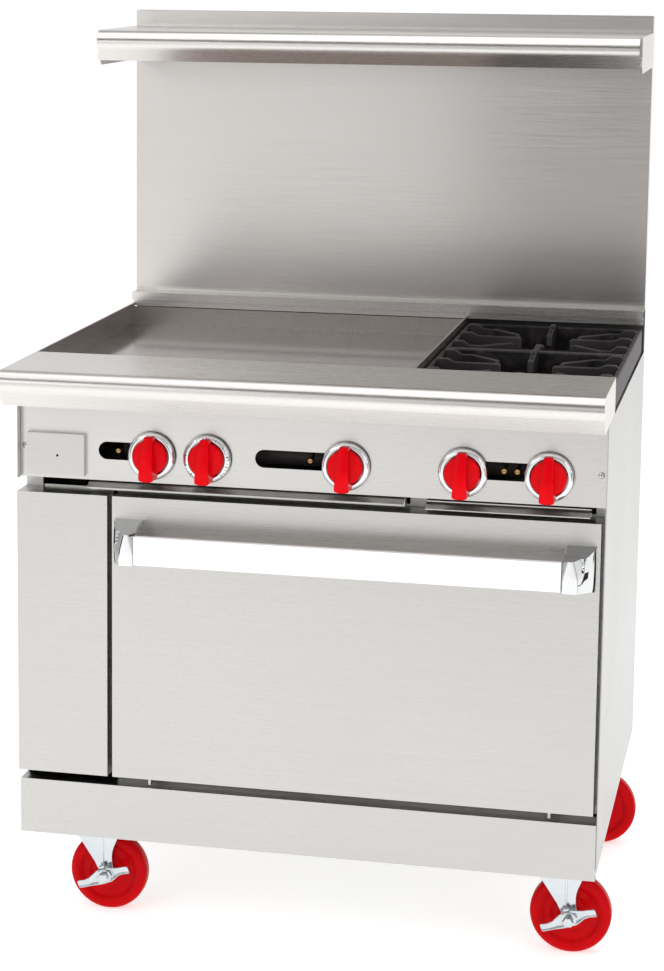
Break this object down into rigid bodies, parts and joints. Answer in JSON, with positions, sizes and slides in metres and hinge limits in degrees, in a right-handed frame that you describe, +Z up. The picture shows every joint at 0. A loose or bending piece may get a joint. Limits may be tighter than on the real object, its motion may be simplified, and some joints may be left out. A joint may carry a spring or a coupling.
{
  "type": "commercial gas range",
  "caption": "Free-standing stainless gas range with griddle, open burners, oven, tall back riser with shelf, red knobs and swivel casters.",
  "frame": {"origin": "on the floor under the middle of the range's overall box", "axes": "+X to the cook's right, +Y towards the wall, +Z up; the cook stands on the -Y side"},
  "size_m": [0.951, 0.826, 1.435],
  "materials": {
    "stainless_front": "brushed stainless steel, satin, light warm grey",
    "stainless_top": "brushed stainless steel",
    "griddle_steel": "ground and polished carbon steel plate",
    "sheet_steel": "aluminised sheet steel",
    "black_steel": "matt black high-temperature paint",
    "enamel": "dark porcelain enamel",
    "cast_iron": "black cast iron",
    "knob_red": "glossy red moulded plastic",
    "chrome": "polished chrome",
    "handle_white": "bright satin handle face",
    "zinc": "bright zinc plate",
    "wheel_red": "red polyurethane",
    "brass": "raw brass",
    "pipe": "black iron pipe",
    "wool": "mineral wool blanket",
    "gasket": "woven glass-fibre rope",
    "wire": "nickel-plated wire"
  },
  "bodies": {
    "cabinet": {"side_panel_left": "stainless_front", "side_panel_right": "stainless_front", "kick_panel": "stainless_front", "left_front_panel": "stainless_front", "control_panel": "stainless_front", "front_ledge": "stainless_front", "griddle_splash": "stainless_top", "grease_trough": "stainless_top", "backguard": "stainless_top", "flue_lip": "stainless_top", "high_shelf": "stainless_top", "griddle_plate": "griddle_steel", "back_panel": "sheet_steel", "base_pan": "sheet_steel", "oven_face_frame": "sheet_steel", "burner_well": "sheet_steel", "hinge_receivers": "sheet_steel", "griddle_burners": "sheet_steel", "thermostat_bulb": "sheet_steel", "oven_flue": "black_steel", "oven_burner": "black_steel", "oven_liner": "enamel", "oven_floor": "enamel", "rack_guides": "enamel", "burner_heads": "cast_iron", "knob_bezels": "chrome", "thermostat_bezel": "chrome", "panel_screws": "chrome", "caster_plates": "zinc", "gas_valves": "brass", "gas_manifold": "pipe", "oven_insulation": "wool", "oven_rack": "wire"},
    "oven_door": {"door_outer_panel": "stainless_front", "door_inner_liner": "sheet_steel", "door_insulation": "wool", "door_gasket": "gasket", "handle_bar": "handle_white", "handle_brackets": "chrome", "hinge_arms": "sheet_steel"},
    "grease_drawer": {"grease_drawer": "stainless_front"},
    "drip_tray": {"drip_tray": "stainless_front"},
    "crumb_tray": {"crumb_tray": "stainless_front"},
    "grate_front": {"grate_front": "cast_iron"},
    "grate_rear": {"grate_rear": "cast_iron"},
    "knob_griddle_left": {"knob_griddle_left": "knob_red"},
    "knob_thermostat": {"knob_thermostat": "knob_red"},
    "knob_griddle_right": {"knob_griddle_right": "knob_red"},
    "knob_rear_burner": {"knob_rear_burner": "knob_red"},
    "knob_front_burner": {"knob_front_burner": "knob_red"},
    "caster_front_left": {"caster_fork_front_left": "zinc"},
    "wheel_front_left": {"caster_wheel_front_left": "wheel_red"},
    "brake_lever_front_left": {"brake_lever_front_left": "zinc"},
    "caster_front_right": {"caster_fork_front_right": "zinc"},
    "wheel_front_right": {"caster_wheel_front_right": "wheel_red"},
    "brake_lever_front_right": {"brake_lever_front_right": "zinc"},
    "caster_rear_left": {"caster_fork_rear_left": "zinc"},
    "wheel_rear_left": {"caster_wheel_rear_left": "wheel_red"},
    "caster_rear_right": {"caster_fork_rear_right": "zinc"},
    "wheel_rear_right": {"caster_wheel_rear_right": "wheel_red"}
  },
  "joints": [
    {"name": "oven_door_hinge", "type": "hinge", "parent": "cabinet", "child": "oven_door", "pos_m": [0.0735, -0.3, 0.262], "axis": [1, 0, 0], "range_deg": [0, 88]},
    {"name": "knob_griddle_left_turn", "type": "hinge", "parent": "cabinet", "child": "knob_griddle_left", "pos_m": [-0.243, -0.304, 0.77], "axis": [0, -1, 0], "range_deg": [0, 90]},
    {"name": "knob_thermostat_turn", "type": "hinge", "parent": "cabinet", "child": "knob_thermostat", "pos_m": [-0.1545, -0.304, 0.77], "axis": [0, -1, 0], "range_deg": [0, 280]},
    {"name": "knob_griddle_right_turn", "type": "hinge", "parent": "cabinet", "child": "knob_griddle_right", "pos_m": [0.062, -0.304, 0.77], "axis": [0, -1, 0], "range_deg": [0, 90]},
    {"name": "knob_rear_burner_turn", "type": "hinge", "parent": "cabinet", "child": "knob_rear_burner", "pos_m": [0.2405, -0.304, 0.77], "axis": [0, -1, 0], "range_deg": [0, 90]},
    {"name": "knob_front_burner_turn", "type": "hinge", "parent": "cabinet", "child": "knob_front_burner", "pos_m": [0.37, -0.304, 0.77], "axis": [0, -1, 0], "range_deg": [0, 90]},
    {"name": "grease_drawer_slide", "type": "slide", "parent": "cabinet", "child": "grease_drawer", "axis": [0, -1, 0], "range_m": [0, 0.24]},
    {"name": "drip_tray_slide", "type": "slide", "parent": "cabinet", "child": "drip_tray", "axis": [0, -1, 0], "range_m": [0, 0.5]},
    {"name": "crumb_tray_slide", "type": "slide", "parent": "cabinet", "child": "crumb_tray", "axis": [0, -1, 0], "range_m": [0, 0.5]},
    {"name": "grate_front_lift", "type": "slide", "parent": "cabinet", "child": "grate_front", "axis": [0, 0, 1], "range_m": [0, 0.12]},
    {"name": "grate_rear_lift", "type": "slide", "parent": "cabinet", "child": "grate_rear", "axis": [0, 0, 1], "range_m": [0, 0.12]},
    {"name": "caster_front_left_swivel", "type": "hinge", "parent": "cabinet", "child": "caster_front_left", "pos_m": [-0.3735, -0.22, 0.142], "axis": [0, 0, 1], "continuous": true},
    {"name": "wheel_front_left_spin", "type": "hinge", "parent": "caster_front_left", "child": "wheel_front_left", "pos_m": [-0.335, -0.22, 0.0635], "axis": [0, 1, 0], "continuous": true},
    {"name": "brake_lever_front_left_tilt", "type": "hinge", "parent": "caster_front_left", "child": "brake_lever_front_left", "pos_m": [-0.335, -0.253, 0.0635], "axis": [0, 1, 0], "range_deg": [0, 30]},
    {"name": "caster_front_right_swivel", "type": "hinge", "parent": "cabinet", "child": "caster_front_right", "pos_m": [0.3735, -0.22, 0.142], "axis": [0, 0, 1], "continuous": true},
    {"name": "wheel_front_right_spin", "type": "hinge", "parent": "caster_front_right", "child": "wheel_front_right", "pos_m": [0.412, -0.22, 0.0635], "axis": [0, 1, 0], "continuous": true},
    {"name": "brake_lever_front_right_tilt", "type": "hinge", "parent": "caster_front_right", "child": "brake_lever_front_right", "pos_m": [0.412, -0.253, 0.0635], "axis": [0, 1, 0], "range_deg": [0, 30]},
    {"name": "caster_rear_left_swivel", "type": "hinge", "parent": "cabinet", "child": "caster_rear_left", "pos_m": [-0.3735, 0.28, 0.142], "axis": [0, 0, 1], "continuous": true},
    {"name": "wheel_rear_left_spin", "type": "hinge", "parent": "caster_rear_left", "child": "wheel_rear_left", "pos_m": [-0.412, 0.28, 0.0635], "axis": [0, 1, 0], "continuous": true},
    {"name": "caster_rear_right_swivel", "type": "hinge", "parent": "cabinet", "child": "caster_rear_right", "pos_m": [0.3735, 0.28, 0.142], "axis": [0, 0, 1], "continuous": true},
    {"name": "wheel_rear_right_spin", "type": "hinge", "parent": "caster_rear_right", "child": "wheel_rear_right", "pos_m": [0.412, 0.28, 0.0635], "axis": [0, 1, 0], "continuous": true}
  ]
}
